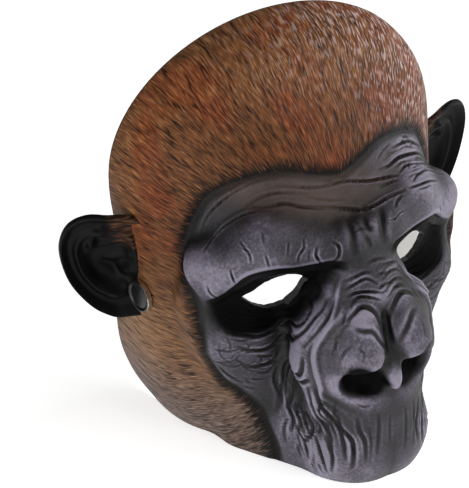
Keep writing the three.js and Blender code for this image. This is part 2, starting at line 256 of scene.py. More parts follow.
# The sculpted form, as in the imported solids.
# A block is a rounded mass (centre and radii), a roll is a tapered sausage between two points.
# Places and block radii are shares of the half width, the reach and the height; roll radii and
# blends are shares of the half width. A pair is mirrored, and a dent is taken away.
forms = [
    dict(block=(0, 0.023, 0.157), radii=(0.996, 0.46, 0.329), back=1.15, blend=0),
    dict(block=(0, 0.038, -0.16), radii=(0.937, 0.615, 0.54), power=2.45, back=1.5, blend=0.17),
    dict(block=(0, -0.292, 0.133), radii=(0.568, 0.277, 0.177), blend=0.19),
    dict(block=(0, -0.431, 0.027), radii=(0.695, 0.223, 0.159), blend=0.15),
    dict(block=(0, -0.662, -0.354), radii=(0.34, 0.315, 0.265), power=2.3, blend=0.17),
    dict(pair=True, roll=((0.458, -0.385, -0.46), (0.205, -0.692, -0.46)), radii=(0.179, 0.179),
         stretch=(1, 1, 2), blend=0.105),
    dict(pair=True, block=(0.126, -0.769, -0.442), radii=(0.211, 0.169, 0.097), blend=0.126),
    dict(block=(0, -0.7, -0.15), radii=(0.4, 0.18, 0.19), blend=0.126),
    dict(pair=True, roll=((0.126, -0.669, 0.066), (0.442, -0.538, 0.084)),
         radii=(0.132, 0.158), blend=0.084),
    dict(pair=True, roll=((0.442, -0.538, 0.084), (0.716, -0.431, 0.018)),
         radii=(0.158, 0.132), blend=0.084),
    dict(pair=True, roll=((0.716, -0.431, 0.018), (0.789, -0.377, -0.084)),
         radii=(0.132, 0.105), blend=0.084),
    dict(pair=True, block=(0.616, -0.423, -0.164), radii=(0.226, 0.142, 0.084), blend=0.126),
    dict(pair=True, block=(0.505, -0.438, -0.265), radii=(0.2, 0.115, 0.097), blend=0.147),
    dict(roll=((0, -0.692, 0.071), (0, -0.808, -0.027)), radii=(0.105, 0.126), blend=0.095),
    dict(pair=True, dent=True, block=(0.432, -0.762, -0.035), radii=(0.242, 0.177, 0.053), blend=0.063),
    dict(pair=True, roll=((0.105, -0.754, 0.009), (0.258, -0.745, -0.097)),
         radii=(0.074, 0.084), blend=0.105),
    dict(pair=True, roll=((0.258, -0.745, -0.097), (0.325, -0.715, -0.195)),
         radii=(0.084, 0.084), blend=0.095),
    dict(pair=True, roll=((0.325, -0.715, -0.195), (0.285, -0.765, -0.31)),
         radii=(0.084, 0.063), blend=0.095),
    dict(pair=True, roll=((0.105, -0.846, -0.071), (0.147, -0.908, -0.146)),
         radii=(0.105, 0.126), blend=0.047),
    dict(pair=True, roll=((0.168, -0.862, -0.133), (0.211, -0.854, -0.221)),
         radii=(0.116, 0.095), blend=0.095),
    dict(pair=True, roll=((0.211, -0.854, -0.221), (0.116, -0.862, -0.27)),
         radii=(0.084, 0.063), blend=0.084),
    dict(pair=True, roll=((0.2, -0.79, -0.085), (0.262, -0.782, -0.2)), radii=(0.1, 0.1), blend=0.12),
    dict(roll=((0, -0.852, -0.115), (0, -0.968, -0.214)), radii=(0.063, 0.068), blend=0.042),
    dict(pair=True, dent=True, roll=((0.168, -1.062, -0.228), (0.184, -0.923, -0.218)),
         radii=(0.121, 0.084),
         stretch=(1.15, 1, 1), blend=0.07),
]


def blockDistance(form, points):
    offset = points - headSize * form["block"]
    size = np.tile(headSize * form["radii"], (len(points), 1))
    if "back" in form:
        size[:, 1] = np.where(offset[:, 1] > 0, form["back"] * headSize[1], size[:, 1])
    power = form.get("power", 2)
    share = np.abs(offset) / size
    level = (share ** power).sum(axis=1) ** (1 / power)
    slope = level ** (1 - power) * np.linalg.norm(share ** (power - 1) / size, axis=1)
    return (level - 1) / np.maximum(slope, 1e-6)


def rollDistance(form, points):
    stretch = np.array(form.get("stretch", (1, 1, 1)), dtype=float)
    start, end = (headSize * place / stretch for place in form["roll"])
    run = end - start
    offset = points / stretch - start
    along = np.clip(offset @ run / (run @ run), 0, 1)
    away = np.linalg.norm(offset - along[:, None] * run, axis=1)
    first, last = (radius * head["halfWidth"] for radius in form["radii"])
    return (away - first - (last - first) * along) * stretch.min()


def blendNearer(a, b, blend):
    if blend == 0:
        return np.minimum(a, b)
    mix = np.clip(0.5 + (b - a) / (2 * blend), 0, 1)
    return b + (a - b) * mix - blend * mix * (1 - mix)


# Distance from points to the sculpted skin, negative inside the head.
def skinDistance(points):
    mirrored = points * 1.0
    mirrored[:, 0] = np.abs(mirrored[:, 0])
    distance = np.full(len(points), 1e9)
    for form in forms:
        measure = blockDistance if "block" in form else rollDistance
        own = measure(form, mirrored if form.get("pair") else points)
        blend = form["blend"] * head["halfWidth"]
        if form.get("dent"):
            distance = -blendNearer(-distance, own, blend)
        else:
            distance = blendNearer(distance, own, blend)
    return distance


# Where rays from the ray centre pass the level: the farthest place for an outer skin, the
# nearest one for the wall's inner face.
def castRays(directions, level=0.0, outermost=True, halvings=12):
    reach, start = head["headHeight"] * 0.9, head["halfWidth"] * 0.08
    t = np.full(len(directions), reach if outermost else start)
    inside, outside = np.full(len(directions), start), np.full(len(directions), reach)
    active = np.arange(len(directions))
    while len(active):
        excess = skinDistance(rayCentre + directions[active] * t[active, None]) - level
        isInside = excess < 0
        inside[active[isInside]] = t[active[isInside]]
        outside[active[~isInside]] = t[active[~isInside]]
        going = ~isInside if outermost else isInside
        active, excess = active[going], excess[going]
        step = np.maximum(np.abs(excess) * 0.5, 1.5)
        t[active] += -step if outermost else step
        active = active[(t[active] < reach) & ((t[active] > start) | (not outermost))]
    for i in range(halvings):
        middle = (inside + outside) / 2
        isInside = skinDistance(rayCentre + directions * middle[:, None]) < level
        inside = np.where(isInside, middle, inside)
        outside = np.where(isInside, outside, middle)
    return rayCentre + directions * ((inside + outside) / 2)[:, None]


def skinSlope(points, distance):
    probe = head["halfWidth"] * 0.003
    return np.column_stack([
        (skinDistance(points + probe * np.eye(3)[axis]) - distance) / probe for axis in range(3)])


# Means of the neighbouring vertices, from a mesh's edges.
def neighbourMeans(values, edges):
    counts = np.bincount(edges.ravel(), minlength=len(values))
    columns = []
    for column in values.T:
        sums = np.bincount(edges[:, 0], weights=column[edges[:, 1]], minlength=len(values))
        sums += np.bincount(edges[:, 1], weights=column[edges[:, 0]], minlength=len(values))
        columns.append(sums / counts)
    return np.column_stack(columns)


def meshEdges(piece):
    edges = np.empty(len(piece.data.edges) * 2, dtype=np.int64)
    piece.data.edges.foreach_get("vertices", edges)
    return edges.reshape(-1, 2)


# A ball of square facets drawn out to a level of the skin distance, in head millimetres.
def headBall(name, cuts, level, outermost, evenings):
    deselectAll()
    bpy.ops.mesh.primitive_cube_add(size=2)
    ball = bpy.context.object
    ball.name = name
    editWhole((bpy.ops.mesh.subdivide, {"number_cuts": cuts}), (bpy.ops.mesh.subdivide, {"number_cuts": 1}))
    directions = np.tan(vertexPlaces(ball) * math.pi / 4)
    directions /= np.linalg.norm(directions, axis=1)[:, None]
    directions[:, 1] -= head["frontPull"]
    directions /= np.linalg.norm(directions, axis=1)[:, None]
    points = castRays(directions, level, outermost)
    edges = meshEdges(ball)
    for i in range(evenings):
        points = (points + neighbourMeans(points, edges)) / 2
        distance = skinDistance(points)
        slope = skinSlope(points, distance)
        points -= slope * ((distance - level) / np.maximum((slope ** 2).sum(axis=1), 0.2))[:, None]
    return ball, points, edges


# Strokes are grooves and ridges drawn over the skin. A stroke is its points, its width and its
# depth, then its lip and its taper where they aren't the usual ones. Points are (azimuth,
# elevation) in degrees as seen from the ray centre, azimuth counted from straight ahead. Width
# and depth are millimetres, and a ridge has a depth below 0. The lip is how far the sides stand
# up, as a share of the depth, and the taper is the share of the length that each end fades over.
usualLipAndTaper = (0.3, 0.35)

# How far a stroke reaches, where its sides stand up and how broadly, and how far its dark wash and
# painted shade reach: in widths. Then the depth in millimetres at which it is fully dark.
strokeShape = {"reach": 3.2, "sides": 1.9, "sideWidth": 0.8, "darkWidth": 0.75, "darkDepth": 1.1}


def angleDirections(angles):
    azimuth, elevation = np.radians(np.asarray(angles, dtype=float)).T
    return np.column_stack((
        np.sin(azimuth) * np.cos(elevation), -np.cos(azimuth) * np.cos(elevation), np.sin(elevation)))


# A place on the smooth curve between b and c, with a before them and d after.
def curvePlace(a, b, c, d, t):
    return 0.5 * (2 * b + (c - a) * t + (2 * a - 5 * b + 4 * c - d) * t ** 2
                  + (3 * b - a - 3 * c + d) * t ** 3)


# A smooth run of points through the given ones.
def smoothRun(points, perSpan=5):
    points = np.asarray(points, dtype=float)
    padded = np.vstack((2 * points[0] - points[1], points, 2 * points[-1] - points[-2]))
    run = [curvePlace(*padded[i:i + 4], t) for i in range(len(points) - 1)
           for t in np.linspace(0, 1, perSpan, endpoint=False)]
    return np.array(run + [points[-1]])


# Distance from points to a line, and the share of the line at the nearest place. Steps longer
# than the longest, where a ray jumped over a hollow, are left out.
def awayFromLine(points, line, longest=math.inf):
    away = np.full(len(points), 1e9)
    share = np.zeros(len(points))
    for i, (a, b) in enumerate(zip(line[:-1], line[1:])):
        step = b - a
        length = step @ step
        if length < 1e-9 or length > longest ** 2:
            continue
        along = np.clip((points - a) @ step / length, 0, 1)
        own = np.linalg.norm(points - a - along[:, None] * step, axis=1)
        closer = own < away
        away[closer] = own[closer]
        share[closer] = (i + along[closer]) / (len(line) - 1)
    return away, share


def drawStrokes(points, strokes):
    runs = [smoothRun(one[0]) for one in strokes]
    places = castRays(angleDirections(np.vstack(runs)))
    depth = np.zeros(len(points))
    creaseWashAndShade = np.zeros(len(points))
    start = 0
    for one, run in zip(strokes, runs):
        width, deep, lip, taper = (*one[1:], *usualLipAndTaper[len(one) - 3:])
        line = places[start:start + len(run)]
        start += len(run)
        reach = strokeShape["reach"] * width
        near = np.flatnonzero(np.all(
            (points > line.min(axis=0) - reach) & (points < line.max(axis=0) + reach), axis=1))
        away, share = awayFromLine(points[near], line, longest=30)
        strength = np.clip(np.minimum(share, 1 - share) / taper, 0, 1) ** 0.7
        profile = np.exp(-(away / width) ** 2)
        fromSide = (away - strokeShape["sides"] * width) / (strokeShape["sideWidth"] * width)
        depth[near] += deep * strength * (profile - lip * np.exp(-fromSide ** 2))
        # painted shade, with the paint wash, darkens the middle of the groove
        shade = np.exp(-(away / (strokeShape["darkWidth"] * width)) ** 2) * strength
        creaseWashAndShade[near] = np.maximum(creaseWashAndShade[near], shade * np.clip(deep / strokeShape["darkDepth"], 0, 1))
    return depth, creaseWashAndShade


# Both sides of a stroke given on one side; the second side is drawn a little differently.
def bothSides(strokes):
    chance = random.Random(7)
    result = []
    for one in strokes:
        other = [(-a + chance.uniform(-0.6, 0.6), e + chance.uniform(-0.6, 0.6)) for a, e in one[0]]
        result += [one, (other, *one[1:])]
    return result


hairlineHalf = [
    (30, -60), (30, -49), (30.5, -42.5), (32, -38), (35, -34), (39, -28.5), (44, -21.5), (49, -17.5),
    (52.2, -12), (53.2, -6), (53.5, 0), (54.8, 6), (55, 13), (56.5, 18), (61, 22.5), (64.5, 28),
    (63.5, 33.5), (60.5, 40), (56.5, 45.5), (47, 50), (34, 53.2), (23, 53.8), (11.5, 52.4), (0, 51),
]

sculpt = {
    # long thin lines over the right brow, then short scars on the face of the roll
    "rightBrow": [
        ([(-58.3, 35.8), (-56.5, 39.8), (-53.5, 43.1), (-49.3, 46.2), (-43.8, 49.1), (-36.7, 51.5),
          (-28, 52.6)], 0.57, 0.7, 0.8),
        ([(-42, 45), (-36.5, 47.2), (-30.7, 48.5), (-24.1, 48.7), (-14.8, 47.7)], 0.66, 1, 0.5),
        ([(-53.7, 30.5), (-52.2, 34.9), (-48.7, 38.9), (-43, 42.3), (-38, 43.6),
          (-30, 44.2)], 0.57, 0.7, 0.8),
        ([(-37, 44.8), (-30.7, 45.6), (-25, 45.9), (-19.4, 44.8), (-13, 43.9),
          (-3.8, 42.7)], 0.76, 1.5, 0.4),
        ([(-30, 50.8), (-21.2, 50.1), (-11.7, 49.2), (-4.4, 49), (3, 48.6)], 0.66, 1),
        ([(-18, 47.3), (-12.4, 46.2), (-5.9, 44.9), (0.9, 43.8)], 0.57, 0.7),
        ([(-42, 35.6), (-39.3, 33), (-37.8, 31.4), (-37.4, 28.8)], 0.57, 0.7, 0.9),
        ([(-44, 27), (-43.2, 24.1), (-42.5, 21.6)], 0.57, 0.7, 0.9),
        ([(-50.5, 21.1), (-50.1, 18.6), (-48.8, 16.4)], 0.57, 0.6, 0.9),
        ([(-32.8, 31.8), (-31.6, 28)], 0.57, 0.6, 0.9),
        ([(-33.9, 38), (-33.2, 34.3)], 0.57, 0.35),
        ([(-25.2, 35.2), (-25.7, 31.2)], 0.57, 0.5, 0.9),
        ([(-20.3, 36), (-20.4, 33.3), (-22.1, 31.1), (-22.6, 28.8)], 0.57, 0.7, 0.9),
        ([(-18.8, 32.5), (-19.3, 29.2)], 0.57, 0.4, 0.9),
        ([(-16.2, 33), (-16.8, 30.5), (-15.2, 28)], 0.66, 0.8, 0.9),
        ([(-11.4, 34), (-9.5, 32.3), (-9.8, 29.6), (-11.8, 28)], 0.66, 0.8, 0.9),
    ],
    # deep irregular wrinkles that climb over the left brow
    "leftBrow": [
        ([(-6.1, 49.3), (1.8, 48.9), (13.7, 46.3), (23.5, 44.4), (27.5, 43.2)], 0.65, 1.53),
        ([(-9, 43.2), (-0.5, 41.6), (5.8, 39.9), (11.3, 39.7), (17.9, 39.9), (25, 39)], 0.72, 1.95),
        ([(25.6, 38.8), (29.6, 37.8), (35.5, 36.3), (44, 33)], 0.65, 1.27),
        ([(28.6, 39.4), (32.9, 40), (40.6, 38.5), (49, 34.6), (53.4, 30)], 0.65, 1.53),
        ([(27.8, 43.6), (33.5, 43.8), (40.8, 41.3), (50, 37.4), (55.4, 33)], 0.65, 1.7),
        ([(19.6, 47.4), (26.1, 46.8), (33.6, 46.6), (43.4, 44), (52, 40.4), (59, 35)], 0.72, 1.87),
        ([(32, 49.8), (40.3, 48.5), (48, 46), (56, 41)], 0.65, 1.61),
        ([(21.5, 50), (26.5, 51), (33, 51.2)], 0.5, 0.85),
        ([(16, 43.6), (22.1, 43), (25.8, 42.4)], 0.5, 0.94),
        ([(28.2, 37), (31, 36), (34.4, 35.4)], 0.5, 0.68),
        ([(28, 45.4), (34, 45), (41, 42.8)], 0.43, 0.68),
        ([(36, 48), (42, 46.8), (49, 43.6)], 0.43, 0.77),
        ([(31, 42), (38, 40.4), (46, 37)], 0.43, 0.68),
        ([(24, 48.8), (30, 48.8), (36, 48.4)], 0.43, 0.68),
        ([(16.5, 36.6), (19.1, 37.8), (22.5, 38.4)], 0.65, 0.94),
        ([(10.6, 34.5), (13.4, 33.8), (16.7, 34.5), (20.8, 34.2)], 0.43, 0.51, 0.9),
        ([(40, 27), (42, 24), (42.6, 21)], 0.43, 0.42, 0.8),
    ],
    # blocky folds between the brows
    "frown": [
        ([(12.4, 39), (9.3, 35.9), (6.9, 32.3), (5.9, 28.6)], 2.31, 1.56, 0.12),
        ([(-2, 39.6), (-3.4, 35.8), (-4.4, 32), (-5, 28.6)], 1.89, 1.2, 0.12),
        ([(4.2, 38.4), (2.6, 35.8), (3, 33.4)], 1.58, 0.96, 0.12),
        ([(-3, 34.9), (0.1, 35.2), (2, 34.7)], 0.63, 0.42, 0.12),
        ([(0.4, 33), (0.8, 29.4)], 1.26, 0.54),
    ],
    "browUnderside": bothSides([
        ([(51.5, 15), (47, 18), (43, 21), (37.2, 24.7), (30, 26.8), (22, 27.4), (12, 27),
          (7, 26)], 1.6, 2.0, 0.45),
    ]),
    "noseBridge": bothSides([
        ([(9.6, 22.8), (7.2, 23.6), (4, 24), (0.8, 23.4)], 0.68, 0.72),
        ([(9.4, 20), (6.8, 21.6), (3.6, 21.8), (0.4, 20.6)], 0.68, 0.9, 0.5),
        ([(9.6, 17.6), (7, 19), (3.8, 19.3), (0.6, 18)], 0.68, 0.9, 0.5),
        ([(9, 16), (6.6, 17.2), (3.8, 17.3), (1.1, 16)], 0.68, 0.84, 0.5),
        ([(10.8, 14.8), (12, 11.6)], 0.6, 0.6),
    ]) + [
        ([(-2.4, 25.8), (1, 26.2), (5, 25.4)], 0.68, 0.72),
        ([(-1.6, 18.8), (1.4, 19.6), (4.6, 19)], 0.6, 0.6),
    ],
    # two round lobes with a cleft between them, each with a soft fold running to the tip
    "noseLobes": bothSides([
        ([(11, 12.6), (9.2, 14.4), (6.8, 15.4), (4.2, 14.8), (2.2, 12.6), (1, 9.6)], 1.0, 1.3, 0.3),
        ([(9.4, 10.3), (7.3, 10.2), (5.3, 8.6), (3.4, 6.3), (1.8, 3.6)], 1.26, 0.81, 0.3),
        ([(8.9, 8.4), (8.9, 6.4), (8.5, 4.8), (9.1, 2.8)], 0.54, 0.31),
    ]) + [
        ([(0, 12.6), (0.3, 9.3), (0.2, 5.3), (0.1, 2)], 1.71, 1.8, 0.3),
    ],
    # the thin roll that rings the nose and both nostrils
    "ridges": bothSides([
        ([(10.4, 17.2), (13, 14), (16.2, 10.5), (18.4, 5.6), (19.3, 1), (18.8, -3.6), (18.3, -8.8),
          (17, -12.6), (14.8, -15), (11.4, -15.8)], 1.5, -1.44, 0.15),
        ([(16.6, 14), (19.6, 8.6), (21.6, 2)], 1.2, -0.77, 0.15),
        ([(9.6, 23.6), (11.6, 18.9), (14.6, 13.8), (17.6, 9.6)], 1.3, -0.94, 0.15),
    ]),
    "underEye": bothSides([
        ([(47, 6), (45, 5), (40, 2.6), (34.9, 0.2), (28.9, 1.2), (23.6, 8), (18.6, 14.4),
          (15.2, 18)], 0.88, 1.2, 0.3),
        ([(43.4, -0.8), (38.7, -3.9), (33.3, -5.4), (27.6, -2), (23.6, 5.2), (19.5, 11.4), (16.1, 15),
          (14, 18.6)], 1.04, 1.2, 0.3),
        ([(41.5, -9.1), (36.3, -11.6), (31.1, -11.6), (28, -8)], 1.04, 1.02),
        ([(22.5, 2.6), (20.2, 7), (17.3, 10.7), (14.3, 14.4), (12.2, 19.4)], 0.8, 0.9),
        ([(44, 9.6), (38, 7), (31, 6.6), (25.4, 10.6), (20.6, 16)], 0.64, 0.72),
        ([(43, 12.6), (37, 10.4), (30.6, 10.4), (25.6, 14), (21.6, 18.4)], 0.56, 0.6),
        ([(46, 7.6), (39, 4.6), (32, 3.6), (26, 7.2), (20.4, 14)], 0.56, 0.6),
        ([(24.5, 17.4), (20.8, 20.4), (18, 24)], 0.56, 0.6),
        ([(21, 17), (17.6, 20.4), (15, 24.6)], 0.64, 0.72),
        ([(38, -14.5), (33, -15.4), (28.6, -12)], 0.8, 0.54),
        ([(48.6, 2), (47.4, -4), (44, -9)], 0.64, 0.36),
        ([(50.2, -8), (46.6, -13.6), (41.6, -18)], 0.88, 0.48, 0.3),
        ([(46.5, 3.4), (44.6, -0.6), (46, -3)], 0.48, 0.36),
        ([(41, 0), (39.6, -2.6), (40.4, -5)], 0.48, 0.3),
        ([(36, -7), (34.6, -9), (35.4, -11.4)], 0.48, 0.3),
    ]),
    # crinkled folds from beside the nostril down the corner of the muzzle
    "muzzleFolds": bothSides([
        ([(22.6, 0.7), (23.4, -4), (24.8, -10), (26.4, -16), (27.2, -22)], 1.26, 1.51, 0.35),
        ([(20.4, -6.4), (22.4, -10), (24, -16), (24.6, -22)], 1.17, 1.51, 0.35),
        ([(21.6, -10), (21.3, -15.6), (20.1, -19.3), (18, -20.8), (16, -23.3),
          (15.4, -27.6)], 1.17, 1.66, 0.35),
        ([(19.6, -9.6), (18.7, -13.4), (17.1, -16.4), (14.3, -19.9), (12.8, -22.8),
          (12.6, -27.6)], 1.08, 1.44, 0.35),
        ([(26, -23.6), (26.4, -26.5), (25.2, -29), (26.6, -32)], 0.99, 1.44, 0.35),
        ([(23.7, -22.8), (24.4, -25.9), (22.8, -27.6), (23.6, -31)], 0.99, 1.44, 0.35),
        ([(22.2, -23.4), (20.4, -24.8), (20.9, -27.8), (22.4, -30.8)], 0.99, 1.37, 0.35),
        ([(20, -26.9), (18.7, -28.8), (17.4, -31.2), (16.9, -35)], 1.08, 1.58, 0.35),
        ([(17.3, -24), (16.2, -26.6), (15.1, -28.4), (15.5, -33)], 0.99, 1.37, 0.35),
        ([(13.4, -17.4), (12.7, -20.1), (10.8, -22.8), (10.2, -25.7), (11.2, -30)], 1.08, 1.37, 0.35),
        ([(9.8, -16.4), (8.8, -19.4), (7.6, -22.8), (8.2, -27)], 0.99, 0.94, 0.35),
        ([(29, -14), (30.4, -19.4), (29.6, -25), (30.6, -30)], 1.17, 0.86),
        ([(24.6, -29.6), (22.6, -31.6), (21.6, -35)], 0.81, 0.79),
        ([(19.6, -21.6), (18.4, -24), (19.2, -26)], 0.72, 0.86),
        ([(27.6, -20), (28.6, -23.6), (28, -27)], 0.72, 0.65),
    ]),
    "lip": [
        ([(-4.3, -14.4), (-4.2, -19.3), (-4.8, -26)], 0.9, 0.63),
        ([(-6.8, -18), (-6.3, -22), (-6.8, -28)], 0.72, 0.35),
        ([(-1, -15), (-1.3, -20), (-1, -24)], 0.72, 0.35),
        ([(3.4, -15), (3.8, -20), (3.2, -27)], 0.81, 0.49),
        ([(6.6, -15), (6.9, -20.6), (6, -27)], 0.81, 0.56),
        ([(-9.4, -12.4), (-7.4, -12.9), (-5.9, -12.3)], 0.63, 0.42),
    ],
}

hairline = [(hairlineHalf[2:] + [(-a, e) for a, e in hairlineHalf[-2:1:-1]], 2.4, 1.3, 0.15, 0.01)]


# Short fine wrinkles scattered over a patch: centre and spread in degrees, the way they run
# in degrees from level, and how much they bend.
def scattered(chance, centre, spread, count, length, lean, bend, width, depth):
    result = []
    for i in range(count):
        azimuth = centre[0] + chance.uniform(-1, 1) * spread[0]
        elevation = centre[1] + chance.uniform(-1, 1) * spread[1]
        angle = math.radians(lean + chance.gauss(0, 12))
        half = length * chance.uniform(0.5, 1.3) / 2
        sag = bend * chance.uniform(0.5, 1.5)
        across = (-math.sin(angle) * sag, math.cos(angle) * sag)
        points = [
            (azimuth - math.cos(angle) * half, elevation - math.sin(angle) * half),
            (azimuth + across[0], elevation + across[1]),
            (azimuth + math.cos(angle) * half, elevation + math.sin(angle) * half)]
        result.append((points, width * chance.uniform(0.8, 1.2), depth * chance.uniform(0.6, 1.2)))
    return result


def fineWrinkles():
    chance = random.Random(11)
    result = []
    for side in (-1, 1):
        for patch in (
                ((side * 40, -3), (9, 7), 16, 6, side * -8, -0.8, 0.6, 0.4),
                ((side * 39, -14), (9, 7), 18, 6, side * 35, -0.7, 0.6, 0.4),
                ((side * 23, -26), (6, 9), 22, 6, 96, 0.9, 0.65, 0.7),
                ((side * 16, -21), (5, 6), 8, 5, 90, 0.6, 0.6, 0.5),
                ((side * 15, 6), (4, 7), 8, 5, side * -60, 0.4, 0.6, 0.4)):
            result += scattered(chance, *patch)
    result += scattered(chance, (40, 43), (12, 6), 18, 7, -22, 0.6, 0.6, 0.6)
    result += scattered(chance, (5, 21), (7, 5), 10, 5, 0, 0.5, 0.6, 0.4)
    return result


# Distance round the head to an outline given as directions, negative inside it.
def signedDepth(points, angles, outline, corners=None):
    run = smoothRun(outline if corners else list(outline) + [outline[0]])
    offset = points - rayCentre
    radius = np.linalg.norm(offset, axis=1)
    away = awayFromLine(offset / radius[:, None], angleDirections(run))[0] * radius
    azimuth, elevation = angles
    inside = np.zeros(len(points), dtype=bool)
    closed = np.vstack((run, corners)) if corners else run
    for (a0, e0), (a1, e1) in zip(closed, np.roll(closed, -1, axis=0)):
        crosses = (e0 > elevation) != (e1 > elevation)
        with np.errstate(divide="ignore", invalid="ignore"):
            edge = (a1 - a0) * (elevation - e0) / (e1 - e0) + a0
        inside ^= crosses & (azimuth < edge)
    return np.where(inside, -away, away)


def signedHairDepth(points):
    side = points * 1.0
    side[:, 0] = np.abs(side[:, 0])
    return signedDepth(side, directionAngles(side), hairlineHalf, [(-1, 51), (-1, -90), (30, -90)])


def smoothStep(values, low, high):
    share = np.clip((values - low) / (high - low), 0, 1)
    return share * share * (3 - 2 * share)


# The eye openings, in millimetres: the drops are from eye level and from corner to corner.
eyes = {
    "spacing": 81,
    "length": 31,
    "height": 21,
    "drop": 7.5,
    "cornerDrop": 9,
    "detail": 22,
    "raggedness": 0.22,     # how far the scissors strayed
    "cutFrom": -0.68,       # where the cut starts and how far it goes, as shares of the reach
    "cutDepth": 0.34,
}


# The almond of one eye opening in X and Z, from its inner corner round and back.
def almond(side):
    chance = random.Random(5)
    inner = side * (eyes["spacing"] - eyes["length"]) / 2
    outer = side * (eyes["spacing"] + eyes["length"]) / 2
    outerZ = -eyes["drop"] - eyes["cornerDrop"] / 2
    innerZ = outerZ + eyes["cornerDrop"]
    middleZ = (innerZ + outerZ) / 2
    outline = []
    for first, control, last in (
            ((inner, innerZ), (inner + (outer - inner) * 0.42, middleZ + eyes["height"] * 0.95),
             (outer, outerZ)),
            ((outer, outerZ), (inner + (outer - inner) * 0.4, middleZ - eyes["height"] * 1.2),
             (inner, innerZ))):
        for t in np.linspace(0, 1, eyes["detail"], endpoint=False):
            outline.append([
                (1 - t) ** 2 * first[i] + 2 * t * (1 - t) * control[i] + t * t * last[i]
                + chance.gauss(0, eyes["raggedness"]) for i in (0, 1)])
    return np.array(outline)


# A flat outline drawn with a circle's vertices and pushed through the head.
def prism(name, outline, toPoint, thickness, material):
    deselectAll()
    bpy.ops.mesh.primitive_circle_add(vertices=len(outline), radius=1, fill_type="NGON")
    piece = bpy.context.object
    piece.name = name
    setPlaces(piece, [toPoint(a, b) for a, b in outline])
    editWhole((bpy.ops.mesh.extrude_region_move, {"TRANSFORM_OT_translate": {"value": thickness}}),
              (bpy.ops.mesh.normals_make_consistent, {"inside": False}))
    piece.data.materials.append(material)
    return piece


# A piece's vertices turned from +Z to a seat's outward direction and moved there.
def seatPlaces(piece, seat, lift):
    place, outward = seat
    turn = np.array(Vector(outward).to_track_quat("Z", "Y").to_matrix())
    return (vertexPlaces(piece) + (0, 0, lift)) @ turn.T + place


def cylinderCutter(name, seat, radius, low, high, material):
    deselectAll()
    bpy.ops.mesh.primitive_cylinder_add(vertices=snap["holeSides"], radius=radius, depth=high - low)
    piece = bpy.context.object
    piece.name = name
    setPlaces(piece, seatPlaces(piece, seat, (high + low) / 2))
    piece.data.materials.append(material)
    return piece


def cut(piece, cutter, operation="DIFFERENCE", **settings):
    applyModifier(piece, "BOOLEAN", object=cutter, operation=operation, solver="MANIFOLD", **settings)


# Moulded natural latex, cast grey, then washed and dry-brushed by hand: matt with a slight grease,
# colour dark in the grooves and pale on what stands out, partly paint and partly painted shade and
# highlight. Widths, lengths and spacings are millimetres.
latex = {
    "ior": 1.52,
    "sway": 3,
    "strandWidth": 1.6,
    "strandLength": 24,
    "combSpacing": 1.5,
    "lockWidth": 2.4,
    "lockLength": 20,
    "fleckWidth": 0.75,
    "fleckLength": 8,
    "wrinkleWidth": 1.5,
    "wrinkleLength": 15,
    "hairStops": [(0.30, "#432715"), (0.44, "#683f23"), (0.58, "#7e502f"), (0.72, "#a5774e")],
    "rustStops": [(0.30, "#46210f"), (0.44, "#6c361b"), (0.58, "#824525"), (0.72, "#a0643d")],
    "dunStops": [(0.30, "#553b29"), (0.44, "#7b583d"), (0.60, "#8e6a4a"), (0.74, "#aa8562")],
    "ashStops": [(0.30, "#3a2f2a"), (0.44, "#5d4e47"), (0.60, "#786861"), (0.74, "#93827b")],
    "strandShade": "#140b07",
    # painted highlight: the colour of the sheen flecks on the crown
    "sheenFleckColour": "#cab4b0",
    "faceStops": [(0.0, "#010102"), (0.25, "#0b0a0c"), (0.50, "#28252a"), (0.72, "#48434e"),
                  (1.0, "#827c8c")],
    "brown": "#4d3a30",
    "hairlineColour": "#0b0908",
    # near-black paint and painted shadow for the sockets and nostril pits
    "socketColour": "#030304",
}


